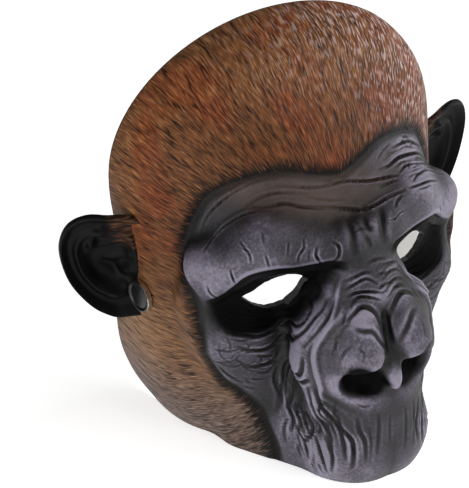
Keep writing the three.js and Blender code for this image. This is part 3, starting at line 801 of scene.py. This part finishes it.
def latexSkin():
    material, shader, add = newMaterial("moulded latex, painted")
    attribute = {name: add("Attribute", attribute_name=name).node.outputs["Fac"] for name in (
        "hairDepth", "relief", "creaseWashAndShade", "blackPaintAndShade", "tone", "ash", "crownSheen", "brown", "wrinkled")}
    place = add("TexCoord").node.outputs["Object"]

    # places drawn out along the hair and the wrinkles, bent by a broad noise
    bend = add("TexNoise", {"Vector": place, "Scale": 34.0, "Detail": 2.0}).node.outputs["Color"]
    centred = add("VectorMath", {0: bend, 1: (0.5, 0.5, 0.5)}, operation="SUBTRACT")
    swayed, drawn = {}, {}
    for name in ("flow", "wrinkle"):
        run = add("Attribute", attribute_name=name).node.outputs["Vector"]
        swayed[name] = add("VectorMath", {
            0: centred, 1: (latex["sway"], latex["sway"], 0), 2: run}, operation="MULTIPLY_ADD")
    for name, run in (("strand", "flow"), ("lock", "flow"), ("fleck", "flow"), ("wrinkle", "wrinkle")):
        share = (1 / latex[name + "Width"], 1 / latex[name + "Length"], 1)
        drawn[name] = add("VectorMath", {0: swayed[run], 1: share}, operation="MULTIPLY")

    # strands and their tips, which locks and patches push lighter and darker, with painted light making
    # them paler towards the crown and painted shade darker near the face
    strand = add("TexNoise", {"Vector": drawn["strand"], "Scale": 1.0, "Detail": 1.0, "Roughness": 0.5})
    tips = add("TexNoise", {"Vector": drawn["strand"], "Scale": 3.0, "Detail": 1.0})
    lock = add("TexNoise", {"Vector": drawn["lock"], "Scale": 1.0, "Detail": 2.0})
    patch = add("TexNoise", {"Vector": place, "Scale": 30.0, "Detail": 3.0})
    # painted light: paler towards the crown, with painted shade near the face
    paintedCrownLight = add("MapRange", {
        "Value": attribute["hairDepth"], "From Min": 4.0, "From Max": 50.0, "To Min": 0.02, "To Max": 0.17})
    tint = -0.18
    for part, weight in ((lock, 0.2), (patch, 0.16), (tips, 0.8), (paintedCrownLight, 1.0)):
        tint = add("Math", {0: part, 1: weight, 2: tint}, operation="MULTIPLY_ADD")
    hair, rust, dun, ash = (
        add("ValToRGB", {"Fac": tint}, latex[name + "Stops"]) for name in ("hair", "rust", "dun", "ash"))
    redness = add("MapRange", {
        "Value": patch, "From Min": 0.42, "From Max": 0.62}, interpolation_type="SMOOTHSTEP")
    # thin dark lines between the strands, paint and painted shade in the grooves, evenly combed but shaken
    # by the strand noise
    across = add("SeparateXYZ", {0: swayed["flow"]})
    across = add("Math", {0: across, 1: 1 / latex["combSpacing"]}, operation="MULTIPLY")
    comb = add("Math", {0: strand, 1: 3.2, 2: across}, operation="MULTIPLY_ADD")
    comb = add("Math", {0: comb, 1: 0.5}, operation="PINGPONG")
    comb = add("MapRange", {
        "Value": comb, "From Min": 0.03, "From Max": 0.3, "To Min": 0.92, "To Max": 0.0})
    broken = add("MapRange", {
        "Value": lock, "From Min": 0.62, "From Max": 0.4, "To Min": 0.2, "To Max": 1.0})
    gap = add("Math", {0: comb, 1: broken}, operation="MULTIPLY")
    # short pale flecks of painted highlight, the sheen on the crown's strands
    fleck = add("TexNoise", {"Vector": drawn["fleck"], "Scale": 1.0, "Detail": 1.0})
    fleck = add("MapRange", {
        "Value": fleck, "From Min": 0.50, "From Max": 0.66}, interpolation_type="SMOOTHSTEP")
    fleck = add("Math", {0: fleck, 1: attribute["crownSheen"]}, operation="MULTIPLY")
    for share, colour in (
            (redness, rust), (attribute["tone"], dun), (attribute["ash"], ash),
            (gap, toLinear(latex["strandShade"])), (fleck, toLinear(latex["sheenFleckColour"]))):
        hair = add("MixRGB", {"Fac": share, "Color1": hair, "Color2": colour})

    # strands cross the hairline, over a near-black band
    ragged = add("Math", {0: tips, 1: 11.0, 2: -5.5}, operation="MULTIPLY_ADD")
    edge = add("Math", {0: attribute["hairDepth"], 1: ragged}, operation="ADD")
    band = add("MapRange", {
        "Value": edge, "From Min": 1.0, "From Max": 7.5}, interpolation_type="SMOOTHSTEP")
    hair = add("MixRGB", {"Fac": band, "Color1": toLinear(latex["hairlineColour"]), "Color2": hair})
    isHair = add("MapRange", {
        "Value": attribute["hairDepth"], "From Min": -2.0, "From Max": 1.0},
        interpolation_type="SMOOTHSTEP")

    # engraved wrinkles: the lines where a drawn-out noise passes its middle value
    wrinkles = add("TexNoise", {"Vector": drawn["wrinkle"], "Scale": 0.6, "Detail": 2.0})
    wrinkles = add("Math", {0: wrinkles, 1: -0.5}, operation="ADD")
    wrinkles = add("Math", {0: wrinkles}, operation="ABSOLUTE")
    wrinkles = add("MapRange", {
        "Value": wrinkles, "From Min": 0.0, "From Max": 0.05, "To Min": 1.0, "To Max": 0.0},
        interpolation_type="SMOOTHSTEP")
    wrinkles = add("Math", {0: wrinkles, 1: attribute["wrinkled"]}, operation="MULTIPLY")

    # the face: washed dark with painted shade in the hollows, dry-brushed pale with painted highlight on
    # what stands out
    grain = add("TexNoise", {"Vector": place, "Scale": 620.0, "Detail": 3.0, "Roughness": 0.7})
    mottle = add("TexNoise", {"Vector": place, "Scale": 60.0, "Detail": 4.0})
    washAndPaintedLight = -0.11
    for part, weight in ((attribute["relief"], 0.68), (attribute["creaseWashAndShade"], -0.44), (wrinkles, -0.16),
                         (grain, 0.6), (mottle, 0.55)):
        washAndPaintedLight = add("Math", {0: part, 1: weight, 2: washAndPaintedLight}, operation="MULTIPLY_ADD")
    face = add("ValToRGB", {"Fac": washAndPaintedLight}, latex["faceStops"])
    brownness = add("Math", {0: attribute["brown"], 1: mottle}, operation="MULTIPLY")
    # near-black paint and painted shadow in the sockets and nostril pits
    for share, colour in ((brownness, "brown"), (attribute["blackPaintAndShade"], "socketColour")):
        face = add("MixRGB", {"Fac": share, "Color1": face, "Color2": toLinear(latex[colour])})

    sheen = add("MapRange", {"Value": attribute["blackPaintAndShade"], "To Min": 0.34, "To Max": 0.04})
    faceHeight = add("Math", {0: grain, 1: 0.7}, operation="MULTIPLY")
    faceHeight = add("Math", {0: wrinkles, 1: -1.0, 2: faceHeight}, operation="MULTIPLY_ADD")
    hairHeight = add("Math", {0: gap, 1: -0.7, 2: strand}, operation="MULTIPLY_ADD")
    height = add("MapRange", {"Value": isHair, "To Min": faceHeight, "To Max": hairHeight})
    setInputs(shader, {
        "Base Color": add("MixRGB", {"Fac": isHair, "Color1": face, "Color2": hair}),
        "Roughness": add("MapRange", {"Value": grain, "To Min": 0.46, "To Max": 0.66}),
        "IOR": latex["ior"],
        "Specular IOR Level": add("MapRange", {"Value": isHair, "To Min": sheen, "To Max": 0.14}),
        "Normal": add("Bump", {"Height": height, "Distance": 0.4 * mm, "Strength": 0.9})})
    return material


# Bare cast latex, never painted: chalky off-white, faintly cloudy.
def latexLining():
    material, shader, add = newMaterial("bare cast latex")
    place = add("TexCoord").node.outputs["Object"]
    cloud = add("TexNoise", {"Vector": place, "Scale": 30.0, "Detail": 4.0})
    grain = add("TexNoise", {"Vector": place, "Scale": 700.0, "Detail": 2.0})
    setInputs(shader, {
        "Base Color": add("ValToRGB", {"Fac": cloud}, [(0.35, "#f2f0ec"), (0.65, "#fbfaf8")]),
        "Roughness": 0.6, "IOR": latex["ior"],
        "Normal": add("Bump", {"Height": grain, "Distance": 0.15 * mm, "Strength": 0.5})})
    return material


# The cut edge round the eyes, painted black like the sockets.
def paintedEdge():
    material, shader, add = newMaterial("black painted latex edge")
    place = add("TexCoord").node.outputs["Object"]
    grain = add("TexNoise", {"Vector": place, "Scale": 400.0, "Detail": 2.0})
    setInputs(shader, {
        "Base Color": add("ValToRGB", {"Fac": grain}, [(0.3, "#050506"), (0.75, "#19181b")]),
        "Roughness": 0.55, "IOR": latex["ior"]})
    return material


# The same latex, painted near-black, with the head's brown carried onto the ear's root.
def earLatex():
    material, shader, add = newMaterial("moulded latex, black")
    place = add("TexCoord").node.outputs["Object"]
    relief, root = (
        add("Attribute", attribute_name=name).node.outputs["Fac"] for name in ("relief", "root"))
    flow = add("Attribute", attribute_name="flow").node.outputs["Vector"]
    grain = add("TexNoise", {"Vector": place, "Scale": 240.0, "Detail": 3.0})
    strand = add("TexNoise", {"Vector": flow, "Scale": 1.0, "Detail": 1.5})
    # paler on the cup's ridges, darker in its hollows and on the back: painted highlight and shade
    washAndPaintedLight = add("Math", {0: grain, 1: 0.5}, operation="MULTIPLY")
    washAndPaintedLight = add("Math", {0: relief, 1: 0.22, 2: washAndPaintedLight}, operation="MULTIPLY_ADD")
    black = add("ValToRGB", {"Fac": washAndPaintedLight}, [
        (0.1, "#010101"), (0.35, "#020203"), (0.6, "#060608"), (1.0, "#131217")])
    brown = add("ValToRGB", {"Fac": strand}, [(0.32, "#0d0704"), (0.5, "#2e1b11"), (0.68, "#5f3f29")])
    ragged = add("Math", {0: strand, 1: 0.9, 2: -0.45}, operation="MULTIPLY_ADD")
    share = add("Math", {0: root, 1: ragged}, operation="ADD")
    share = add("MapRange", {
        "Value": share, "From Min": 0.35, "From Max": 0.75}, interpolation_type="SMOOTHSTEP")
    setInputs(shader, {
        "Base Color": add("MixRGB", {"Fac": share, "Color1": black, "Color2": brown}),
        "Roughness": 0.52, "IOR": latex["ior"], "Specular IOR Level": 0.12,
        "Normal": add("Bump", {"Height": grain, "Distance": 0.3 * mm, "Strength": 0.5})})
    return material


# Nickel-plated steel: a warm bright mirror with faint rubbing.
def nickelPlate():
    material, shader, add = newMaterial("nickel plate")
    place = add("TexCoord").node.outputs["Object"]
    rub = add("TexNoise", {"Vector": place, "Scale": 500.0, "Detail": 3.0})
    setInputs(shader, {
        "Base Color": add("ValToRGB", {"Fac": rub}, [(0.3, "#c9c6c0"), (0.7, "#e6e3dd")]),
        "Roughness": add("MapRange", {"Value": rub, "To Min": 0.14, "To Max": 0.28}),
        "Metallic": 1.0})
    return material


# Stoved black enamel in the cap's dish: deep and glossy, dulled by handling.
def capEnamel():
    material, shader, add = newMaterial("stoved black enamel")
    place = add("TexCoord").node.outputs["Object"]
    haze = add("TexNoise", {"Vector": place, "Scale": 350.0, "Detail": 3.0})
    setInputs(shader, {
        "Base Color": add("ValToRGB", {"Fac": haze}, [(0.3, "#0b0b0d"), (0.7, "#141417")]),
        "Roughness": add("MapRange", {"Value": haze, "To Min": 0.2, "To Max": 0.42}),
        "IOR": 1.5})
    return material


skinMaterial, liningMaterial, edgeMaterial = latexSkin(), latexLining(), paintedEdge()
earMaterial, nickelMaterial, enamelMaterial = earLatex(), nickelPlate(), capEnamel()

print("stage: skin")

# The rear edge from the side, from the crown down to the rim: shares of reach and height.
rearEdge = [
    (0.015, 0.53), (0.023, 0.265), (0.031, 0.115), (0.1, -0.088), (0.146, -0.261),
    (0.177, -0.372), (0.173, -0.43), (0.16, -0.474), (0.12, -0.501), (0.03, -0.5133),
]

snap = {
    "seatShare": (0.94, -0.12, -0.1273),
    "diameter": 18,
    "height": 3.4,
    "gap": 0.3,
    "postDiameter": 5,
    "flangeDiameter": 12,
    "holeLow": -10,         # the holes' ends, below and above the skin
    "holeHigh": 4,
    # the steps that sink the cap's face: inset and height
    "steps": [(0.825, 0), (0.675, -0.35), (0.35, -0.55), (1.4, 0.12), (1.9, 0.12), (2.0, 0.06)],
    "bevel": 0.55,
    "sides": 72,
    "holeSides": 32,
}


def snapSeat(side):
    across, back, up = snap["seatShare"]
    origin, target = headSize * (0, back, up), headSize * (side * across, back, up)
    ray = (target - origin) / np.linalg.norm(target - origin)
    inside, outside = 0.0, head["headHeight"]
    for i in range(40):
        middle = (inside + outside) / 2
        if skinDistance((origin + ray * middle)[None])[0] < 0:
            inside = middle
        else:
            outside = middle
    place = origin + ray * inside
    slope = skinSlope(place[None], skinDistance(place[None]))[0]
    return place, slope / np.linalg.norm(slope)


seats = {"right": snapSeat(-1), "left": snapSeat(1)}


def directionAngles(points):
    offset = points - rayCentre
    azimuth = np.degrees(np.arctan2(offset[:, 0], -offset[:, 1]))
    elevation = np.degrees(np.arcsin(offset[:, 2] / np.linalg.norm(offset, axis=1)))
    return azimuth, elevation


def blob(angles, centre, spread):
    azimuth, elevation = angles
    return np.exp(-((azimuth - centre[0]) / spread[0]) ** 2 - ((elevation - centre[1]) / spread[1]) ** 2)


def blobs(angles, rows):
    return sum(lift * blob(angles, centre, spread) for centre, spread, lift in rows)


# How the skin is painted, with places as directions in degrees. Near-black paint and painted shadow
# under the brow and in the nostril pits fill the outlines of the right socket and nostril and their
# mirror images, and fade over millimetres.
paint = {
    "socket": [(-51.5, 14.6), (-50.4, 9), (-46, 4.6), (-40, 2.4), (-34, 1.2), (-28, 3.6), (-23.6, 9.4),
               (-19.6, 14.6), (-15.6, 18.4), (-12.4, 24.4), (-8, 27.2), (-14, 28.2), (-22, 28), (-30, 27.2),
               (-37.2, 24.9), (-43, 21), (-47.4, 17.6)],
    "socketFade": 3.5,
    "nostril": [(-12, -7.6), (-12.8, -1.6), (-11.4, 1.2), (-8.5, 1), (-5.4, -2), (-2.8, -5), (-1.6, -7),
                (-3.4, -10.2), (-7, -10.8), (-10.6, -9.8)],
    "nostrilFade": 1.8,
    "combedFrom": (0, -0.3, -0.1),
    "combedAround": 80,     # millimetres per radian, as for the wrinkles
    "wrinklesAcross": 110,
    "wrinklesAround": 34,
    "eyeDrop": 7,           # the middle of the rings round an eye, below eye level
    "eyeFlatness": 1.5,
    "broadShare": 0.3,      # how much of the broad forms joins the fine relief, and its limits
    "broadLimits": (-1.5, 0.8),
    "reliefPerWash": 1 / 0.45,
    # painted shade on the skin along the hairline, and how far it reaches
    "hairlineShade": 0.45,
    "hairlineReach": 5,
    # soft patches: direction, spread, strength; wrinkles ring the eyes or run down the muzzle
    "ringed": [((-34, 5), (17, 13), 1), ((34, 5), (17, 13), 1)],
    "upright": [((-23, -24), (8, 14), 1), ((23, -24), (8, 14), 1), ((0, -24), (14, 10), 0.35)],
    # painted highlight: where the sheen lies on the crown's strands
    "crownSheen": [((86, 56), (44, 28), 1), ((20, 84), (90, 13), 0.35)],
    "brown": [((-25, 49), (32, 5), 1.3), ((0, 45), (30, 6), 0.65)],
    "reliefSteps": 12,
    "broadSteps": 60,
    # painted light and shade: the jaw's painted pale band, the painted shade of the hollow under the cheek,
    # and the painted highlight on the nose and brow: direction, spread, lift of the wash
    "paintedLightPatches": [((-24, -34), (11, 8), 0.2), ((24, -34), (11, 8), 0.2), ((-28, -28), (4, 8), 0.12),
               ((-8, 12), (5, 5), 0.16), ((5, 9), (4, 7), 0.06), ((-18, 0), (4, 11), 0.16),
               ((46, 26), (9, 8), 0.16), ((-46, 27), (8, 7), 0.1), ((-40, -4), (7, 4), 0.06),
               ((0, 34), (14, 6), -0.10), ((-27, -9), (4, 8), -0.14), ((-12, -20), (9, 8), -0.04),
               ((40, 44), (16, 8), 0.24), ((-22, 47), (26, 6), -0.05),
               ((14, -6), (11, 16), -0.13)],
}


def paintSkin(ball, points, carved, normal, hairDepth, edges):
    angles = directionAngles(points)
    azimuth, elevation = angles
    level = np.zeros(len(points))
    # combed hair runs away from the face: u counts round it, v outward
    offset = points - headSize * paint["combedFrom"]
    turn = np.arctan2(offset[:, 0], offset[:, 2])
    radius = np.hypot(offset[:, 0], offset[:, 2])
    # wrinkles ring the eyes and run down the muzzle: u counts across them, v along
    side = np.where(points[:, 0] < 0, -1, 1)
    fromEyeX = points[:, 0] - side * eyes["spacing"] / 2
    fromEyeZ = (points[:, 2] + paint["eyeDrop"]) * paint["eyeFlatness"]
    ringed, upright = blobs(angles, paint["ringed"]), blobs(angles, paint["upright"])
    atEye = ringed > upright
    wrinkle = np.column_stack((
        np.where(atEye, np.hypot(fromEyeX, fromEyeZ), np.radians(azimuth) * paint["wrinklesAcross"]),
        np.where(atEye, np.arctan2(fromEyeZ, fromEyeX * side) * paint["wrinklesAround"], elevation * 2.0),
        level))
    smooth = carved
    for i in range(paint["reliefSteps"]):
        smooth = neighbourMeans(smooth, edges)
    broad = smooth
    for i in range(paint["broadSteps"]):
        broad = neighbourMeans(broad, edges)
    # relief: paler on what stands out and darker in the hollows, as paint and as painted highlight and
    # shade
    relief = ((carved - smooth) * normal).sum(axis=1)
    relief += paint["broadShare"] * np.clip(
        ((smooth - broad) * normal).sum(axis=1), *paint["broadLimits"])
    # patches of painted light and shade lift or lower the relief
    relief += paint["reliefPerWash"] * blobs(angles, paint["paintedLightPatches"])
    # painted shade on the skin just below the hairline
    relief -= paint["hairlineShade"] * np.exp(-(hairDepth / paint["hairlineReach"]) ** 2)
    # near-black paint and painted shadow in the sockets under the brow and in the nostril pits
    blackPaintAndShade = level
    for name in ("socket", "nostril"):
        fade = paint[name + "Fade"]
        for mirror in (-1, 1):
            away = signedDepth(points, angles, [(a * mirror, e) for a, e in paint[name]])
            blackPaintAndShade = np.maximum(blackPaintAndShade, 1 - smoothStep(away, -0.6 * fade, fade))
    painted = {
        # the dark band at the hair's edge widens towards the jaw
        "hairDepth": np.clip(hairDepth, -30, 60) * (1 - 0.5 * smoothStep(-elevation, 16, 42)),
        "ash": 0.9 * smoothStep(-elevation, 8, 42),
        "flow": np.column_stack((turn * paint["combedAround"], radius + offset[:, 1] * 0.9, level)),
        "wrinkle": wrinkle,
        "wrinkled": np.clip((np.maximum(ringed, upright) - 0.25) * 1.5, 0, 1) * np.clip(
            3 * np.abs(ringed - upright), 0, 1),
        "relief": relief,
        "blackPaintAndShade": np.clip(blackPaintAndShade, 0, 1),
        "tone": np.clip(
            0.85 * (1 - smoothStep(elevation, -6, 30)) + 0.3 * smoothStep(-azimuth, 70, 115), 0, 1),
        "crownSheen": np.clip(blobs(angles, paint["crownSheen"]), 0, 1),
        "brown": np.clip(blobs(angles, paint["brown"]), 0, 1),
    }
    for name, values in painted.items():
        setAttribute(ball, name, values)


def buildSkin():
    ball, points, edges = headBall("mask_skin", head["outerCuts"], 0.0, True, head["evenings"])
    strokes = [one for group in sculpt.values() for one in group] + fineWrinkles()
    print("stage: skin,", len(strokes), "strokes")
    depth, creaseWashAndShade = drawStrokes(points, strokes)
    depth += drawStrokes(points, hairline)[0]
    distance = skinDistance(points)
    normal = skinSlope(points, distance)
    normal /= np.linalg.norm(normal, axis=1)[:, None]
    hairDepth = signedHairDepth(points)
    carved = points - normal * np.clip(depth, -head["highest"], head["deepest"])[:, None]
    carved += normal * (head["hairRise"] * (smoothStep(hairDepth, 1.0, 6.0) - 1))[:, None]
    paintSkin(ball, points, carved, normal, hairDepth, edges)
    setAttribute(ball, "creaseWashAndShade", creaseWashAndShade)
    setPlaces(ball, carved)
    ball.data.materials.append(skinMaterial)

    inner, innerPoints = headBall(
        "inner face", head["innerCuts"], -head["wall"] - head["hairRise"], False, 0)[:2]
    setPlaces(inner, innerPoints)
    inner.data.materials.append(liningMaterial)

    reach, height = head["faceReach"], head["headHeight"]
    rear = smoothRun([(y * reach, z * height) for y, z in rearEdge], 4)
    rim = head["rimShare"] * height
    # the profile goes well past the face and the sides
    ahead, wide = -1.3 * reach, 1.5 * head["halfWidth"]
    outline = np.vstack((rear, [(ahead, rim), (ahead, rear[0][1])]))
    profile = prism("side profile", outline, lambda y, z: (-wide, y, z), (2 * wide, 0, 0), liningMaterial)
    cutters = [inner, profile]
    for side in (-1, 1):
        # starts behind the fold that hangs over the inner corner
        cutters.append(prism("eye opening", almond(side), lambda x, z: (x, eyes["cutFrom"] * reach, z),
                             (0, eyes["cutDepth"] * reach, 0), edgeMaterial))
    for seat in seats.values():
        cutters.append(cylinderCutter(
            "post hole", seat, snap["postDiameter"] / 2 + snap["gap"], snap["holeLow"], snap["holeHigh"],
            edgeMaterial))
        cutters.append(cylinderCutter(
            "flange pocket", seat, snap["flangeDiameter"] / 2 + 2 * snap["gap"], snap["holeLow"],
            -head["wall"], liningMaterial))
    for cutter in cutters:
        cut(ball, cutter, "INTERSECT" if cutter == profile else "DIFFERENCE", material_mode="TRANSFER")
    remove(*cutters)
    setPlaces(ball, toFrame(vertexPlaces(ball)))
    makeActive(ball)
    bpy.ops.object.shade_smooth_by_angle(angle=math.radians(head["smoothAngle"]))
    return ball


skin = buildSkin()
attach(skin, "root")
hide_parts("mask_shell")
print("stage: skin has", len(skin.data.vertices), "vertices")

print("stage: ears")

ear = {
    "rootShare": (0.995, -0.094, -0.04),
    "height": 72,
    "standOut": 34.5,
    "cupDepth": 9,
    "wall": 2.6,
    "rimRoll": 3,
    "sweep": 0.42,
    "lean": 0.12,
    "sectors": 160,
    "perSpan": 6,
    "middleShare": 0.36,    # where the rings centre, as a share of the stand-out
    "seatCuts": 29,
    "seatDepth": 1.2,       # how far the ear goes into the wall
    "smoothAngle": 50,
    # shares of the stand-out and the height; the ends lie inside the head
    "outline": [(-0.42, 0.33), (0.24, 0.455), (0.58, 0.455), (0.84, 0.365), (0.985, 0.17), (0.94, -0.1),
                (0.75, -0.31), (0.5, -0.45), (0.16, -0.51), (-0.42, -0.39)],
    # distance from the middle as a share of the outline, then depth as a share of the cup's
    "front": [(0, 1), (0.2, 1), (0.38, 0.92), (0.5, 0.6), (0.6, 0.3), (0.7, 0.46), (0.8, 0.42),
              (0.9, 0.08)],
    "back": [(0.94, 0.1), (0.8, 0.42), (0.55, 0.62), (0.3, 1), (0, 1)],
    # soft ridges (rise above 0) and hollows in the cup: shares of stand-out and height, mm, mm
    "relief": [
        ([(0.30, -0.30), (0.55, -0.16), (0.62, 0.02), (0.50, 0.14)], 3.0, 1.6),
        ([(0.50, 0.14), (0.42, 0.24), (0.28, 0.30)], 2.4, 1.8),
        ([(0.50, 0.14), (0.30, 0.13), (0.10, 0.16)], 2.4, 1.6),
        ([(-0.05, 0.03), (0.12, 0.0), (0.28, -0.03)], 2.2, 1.6),
        ([(-0.02, -0.10), (0.05, -0.13)], 3.0, 3.0),
        ([(0.10, -0.24), (0.22, -0.30)], 2.6, 1.6),
        ([(0.20, -0.12), (0.30, -0.06)], 3.6, -2.2),
    ],
}


def closedRun(points, count):
    points = np.asarray(points, dtype=float)
    result = []
    for t in np.arange(count) / count * len(points):
        i, share = int(t), t - int(t)
        a, b, c, d = (points[(i + k) % len(points)] for k in (-1, 0, 1, 2))
        result.append(curvePlace(a, b, c, d, share))
    return np.array(result)


def buildEar(side, word, core):
    standOut, height = ear["standOut"], ear["height"]
    edge = closedRun([(p * standOut, q * height) for p, q in ear["outline"]], ear["sectors"])
    middle = np.array((standOut * ear["middleShare"], 0))
    backRise = ear["cupDepth"] + ear["wall"] - ear["rimRoll"]
    rings = [(share, -depth * ear["cupDepth"]) for share, depth in ear["front"]]
    rings += [(0.96, ear["rimRoll"] * 0.3), (1.0, -ear["rimRoll"] * 0.5)]
    rings += [(share, -ear["rimRoll"] - depth * backRise) for share, depth in ear["back"]]
    profile = smoothRun(rings, ear["perSpan"])
    profile[:, 0] = np.clip(profile[:, 0], 0, 1.004)
    turnAt = int(np.argmax(profile[:, 0]))

    deselectAll()
    bpy.ops.mesh.primitive_grid_add(x_subdivisions=ear["sectors"], y_subdivisions=len(profile) - 1, size=2)
    piece = bpy.context.object
    piece.name = "ear_skin_" + word
    grid = vertexPlaces(piece)
    sector = np.rint((grid[:, 0] + 1) / 2 * ear["sectors"]).astype(int) % ear["sectors"]
    ring = np.rint((grid[:, 1] + 1) / 2 * (len(profile) - 1)).astype(int)
    flat = middle + (edge[sector] - middle) * profile[ring, 0][:, None]
    rise = profile[ring, 1].copy()
    front = ring < turnAt
    for line, width, lift in ear["relief"]:
        run = smoothRun([(p * standOut, q * height) for p, q in line])
        away = awayFromLine(flat, run)[0]
        fade = smoothStep(1 - profile[ring, 0], 0.04, 0.14)
        rise += np.where(front, lift * np.exp(-(away / width) ** 2) * fade, 0)
    outward = np.array((1, ear["sweep"], 0)) / math.hypot(1, ear["sweep"])
    up = np.array((ear["lean"], -ear["lean"] * 0.4, 1))
    up /= np.linalg.norm(up)
    mouth = np.cross(outward, up)
    mouth /= np.linalg.norm(mouth)
    places = headSize * ear["rootShare"] + flat[:, :1] * outward + flat[:, 1:] * up + rise[:, None] * mouth
    places[:, 0] *= side
    setPlaces(piece, places)
    root = np.clip(1.1 - flat[:, 0] / (standOut * 0.32), 0, 1) * smoothStep(flat[:, 1], 0, 14)
    root = np.where(front, root * 0.8, np.clip(1.2 - flat[:, 0] / (standOut * 0.75), 0, 1))
    setAttribute(piece, "root", root)
    # paler on the cup's raised rim and ridges, darker in the hollow and on the back: painted highlight and
    # shade
    setAttribute(piece, "relief", np.where(front, rise + 4, -0.5) * 0.35)
    setAttribute(piece, "flow", np.column_stack((flat[:, 1] / 1.3, flat[:, 0] / 9, np.zeros(len(flat)))))
    piece.data.materials.append(earMaterial)

    makeActive(piece)
    editWhole((bpy.ops.mesh.remove_doubles, {"threshold": 0.01}),
              (bpy.ops.mesh.normals_make_consistent, {"inside": False}))
    room = cylinderCutter("cap room", seats[word], snap["diameter"] / 2 + snap["gap"], -head["wall"],
                          3 * snap["height"], earMaterial)
    cut(piece, core)
    cut(piece, room)
    remove(room)
    setPlaces(piece, toFrame(vertexPlaces(piece)))
    makeActive(piece)
    bpy.ops.object.shade_smooth_by_angle(angle=math.radians(ear["smoothAngle"]))
    return piece


earCore, corePoints = headBall("ear seat", ear["seatCuts"], -ear["seatDepth"], True, 1)[:2]
setPlaces(earCore, corePoints)
for side, word in ((-1, "right"), (1, "left")):
    piece = buildEar(side, word, earCore)
    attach(piece, "root")
    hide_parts("ear_" + word)
remove(earCore)

print("stage: snaps")


# A cap made from a flat disc: its face is inset and sunk in steps, which leaves a rolled rim and
# a low dome in the dish.
def buildCap(word):
    deselectAll()
    bpy.ops.mesh.primitive_cylinder_add(
        vertices=snap["sides"], radius=snap["diameter"] / 2, depth=snap["height"], end_fill_type="NGON")
    piece = bpy.context.object
    piece.name = "snap_button_" + word
    makeActive(piece)
    bpy.ops.object.mode_set(mode="EDIT")
    bpy.ops.mesh.select_mode(type="FACE")
    bpy.ops.mesh.select_all(action="DESELECT")
    bpy.ops.object.mode_set(mode="OBJECT")
    for face in piece.data.polygons:
        face.select = face.normal.z > 0.9
    bpy.ops.object.mode_set(mode="EDIT")
    for inset, rise in snap["steps"]:
        bpy.ops.mesh.inset(thickness=inset, depth=rise)
    bpy.ops.object.mode_set(mode="OBJECT")
    piece.data.materials.append(nickelMaterial)
    piece.data.materials.append(enamelMaterial)
    for face in piece.data.polygons:
        face.material_index = 1 if face.normal.z > 0.3 else 0
    applyModifier(piece, "BEVEL", width=snap["bevel"], segments=3, limit_method="ANGLE",
                  angle_limit=math.radians(35))
    setPlaces(piece, toFrame(seatPlaces(piece, seats[word], snap["gap"] + snap["height"] / 2)))
    makeActive(piece)
    bpy.ops.object.shade_smooth_by_angle(angle=math.radians(35))
    return piece


for word in ("right", "left"):
    piece = buildCap(word)
    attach(piece, "root")
    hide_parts("snap_cap_" + word)
    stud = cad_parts["snap_stud_" + word]
    for materialSlot in stud.material_slots:
        materialSlot.material = nickelMaterial

deselectAll()
